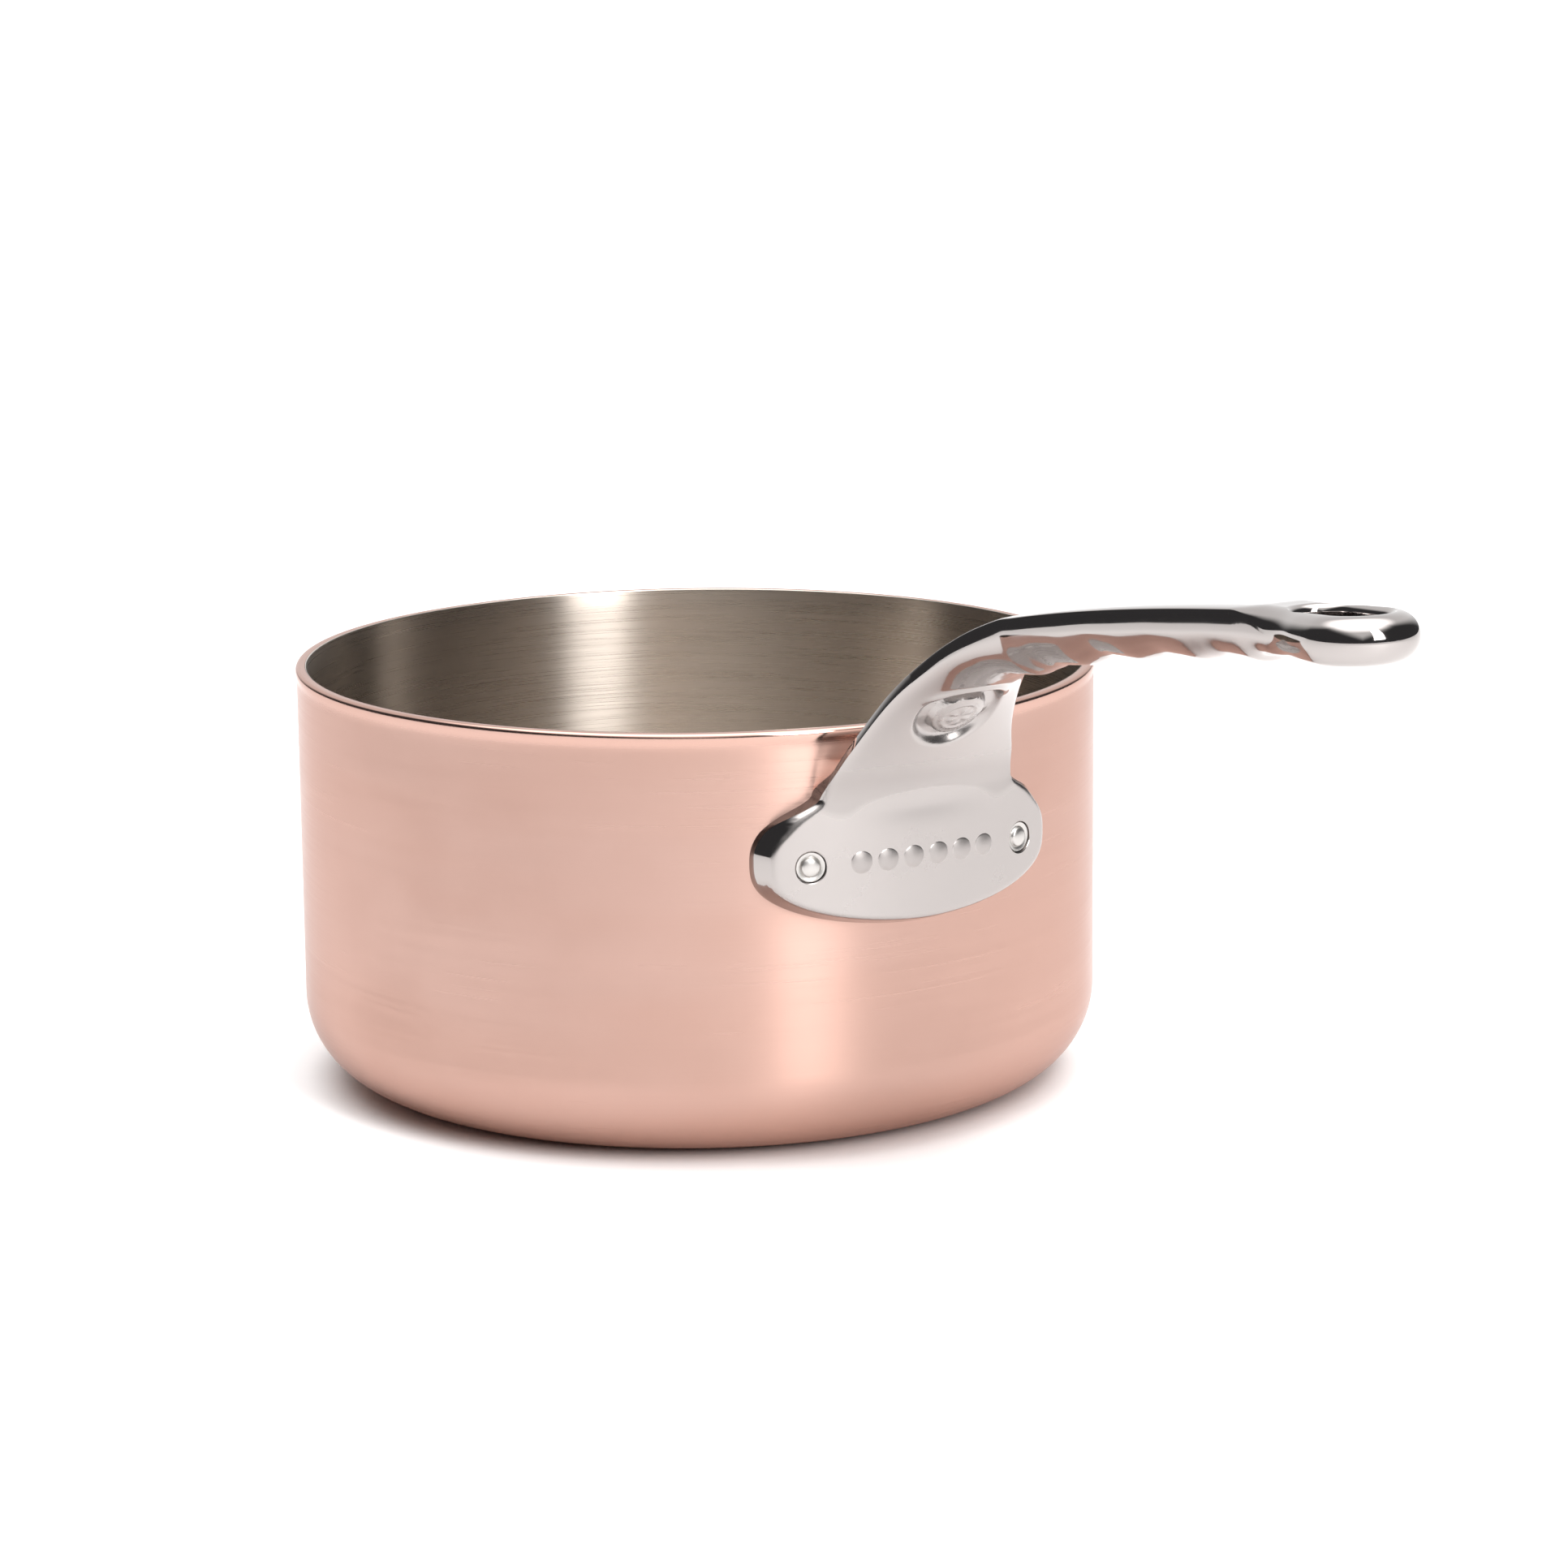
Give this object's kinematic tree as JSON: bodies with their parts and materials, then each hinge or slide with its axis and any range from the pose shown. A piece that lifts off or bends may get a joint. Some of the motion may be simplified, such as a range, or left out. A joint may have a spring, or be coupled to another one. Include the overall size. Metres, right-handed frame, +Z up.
{
  "type": "copper saucepan",
  "caption": "Straight-sided copper saucepan with a steel lining, riveted cast handle and hanging eye.",
  "frame": {"origin": "on the pan's axis at the underside of the base, where it stands", "axes": "+Z up along the pan's axis, +X out along the handle"},
  "size_m": [0.3123, 0.1646, 0.1287],
  "materials": {
    "copper": "fine circumferential brushing, polished",
    "lining": "circumferential brushing",
    "base_layer": "matt sprayed steel",
    "handle": "mirror polished stainless casting",
    "rivets": "satin stainless"
  },
  "bodies": {
    "root": {"copper_body": "copper", "steel_lining": "lining", "magnetic_base": "base_layer", "handle": "handle", "rivet_left": "rivets", "rivet_right": "rivets"}
  },
  "joints": []
}
